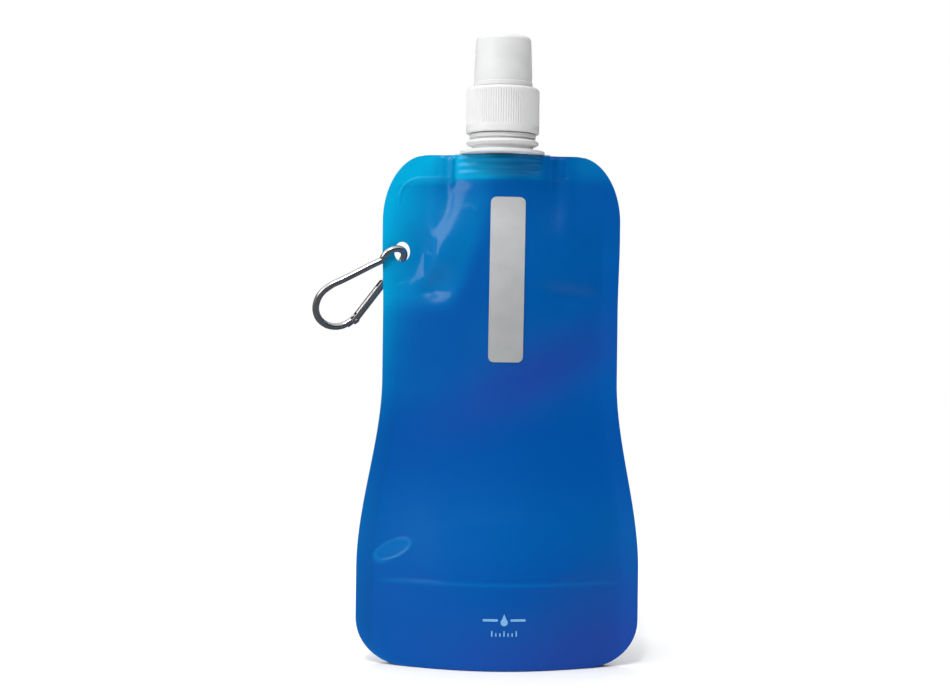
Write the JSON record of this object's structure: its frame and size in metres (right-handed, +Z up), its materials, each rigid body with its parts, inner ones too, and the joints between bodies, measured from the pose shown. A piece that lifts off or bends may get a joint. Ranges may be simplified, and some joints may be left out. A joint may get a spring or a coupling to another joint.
{
  "type": "folding water bottle",
  "caption": "Foldable film pouch bottle that stands on a bottom gusset, with a screw spout, push-pull nozzle, frosted overcap and a clip-on carabiner.",
  "frame": {"origin": "on the surface the bottle stands on, at the middle of the box that holds pouch and carabiner; the pouch's and spout's centre line is at x = 9.85 mm, y = 0", "axes": "+Z up along the spout, -Y is the front with the write-on strip, -X is the side with the eyelet and carabiner"},
  "size_m": [0.1399, 0.0368, 0.2671],
  "materials": {
    "film": "glossy translucent blue film",
    "strip": "satin silver-grey write-on film",
    "white_plastic": "semi-gloss moulded white",
    "frosted_plastic": "frosted translucent",
    "seal": "matt silicone",
    "aluminium": "polished",
    "steel": "plain steel"
  },
  "bodies": {
    "pouch_upper": {"front_film_upper": "film", "back_film_upper": "film", "write_on_strip": "strip", "spout": "white_plastic"},
    "pouch_lower": {"front_film_lower": "film", "back_film_lower": "film", "gusset_film": "film"},
    "cap_rise": {"cap_seal": "seal"},
    "cap": {"screw_cap": "white_plastic"},
    "drinking_nozzle": {"nozzle": "white_plastic"},
    "dust_cover": {"overcap": "frosted_plastic"},
    "carabiner": {"carabiner_body": "aluminium", "gate_rivet": "steel"},
    "gate": {"carabiner_gate": "aluminium", "gate_plunger": "steel", "gate_spring": "steel"}
  },
  "joints": [
    {"name": "pouch_fold", "type": "hinge", "parent": "pouch_upper", "child": "pouch_lower", "pos_m": [0.00985, 0.008, 0.102], "axis": [1, 0, 0], "range_deg": [0, 165]},
    {"name": "cap_lift", "type": "slide", "parent": "pouch_upper", "child": "cap_rise", "axis": [0, 0, 1], "range_m": [0, 0.0192]},
    {"name": "cap_turn", "type": "hinge", "parent": "cap_rise", "child": "cap", "pos_m": [0.00985, 0, 0.234], "axis": [0, 0, 1], "range_deg": [0, 2160]},
    {"name": "nozzle_pull", "type": "slide", "parent": "cap", "child": "drinking_nozzle", "axis": [0, 0, 1], "range_m": [0, 0.0033]},
    {"name": "overcap_lift", "type": "slide", "parent": "cap", "child": "dust_cover", "axis": [0, 0, 1], "range_m": [0, 0.03]},
    {"name": "carabiner_swing", "type": "hinge", "parent": "pouch_upper", "child": "carabiner", "pos_m": [-0.03235, 0, 0.1752], "axis": [0, 1, 0], "range_deg": [-35, 90]},
    {"name": "gate_open", "type": "hinge", "parent": "carabiner", "child": "gate", "pos_m": [-0.05266, 0.0068, 0.1464], "axis": [0.3998, -0.788, -0.4682], "range_deg": [0, 18], "stiffness_Nm_per_rad": 0.02, "springref_deg": -17.19}
  ],
  "couplings": [
    {"joint": "cap_lift", "follows": "cap_turn", "m_per_rad": 0.0005093}
  ]
}
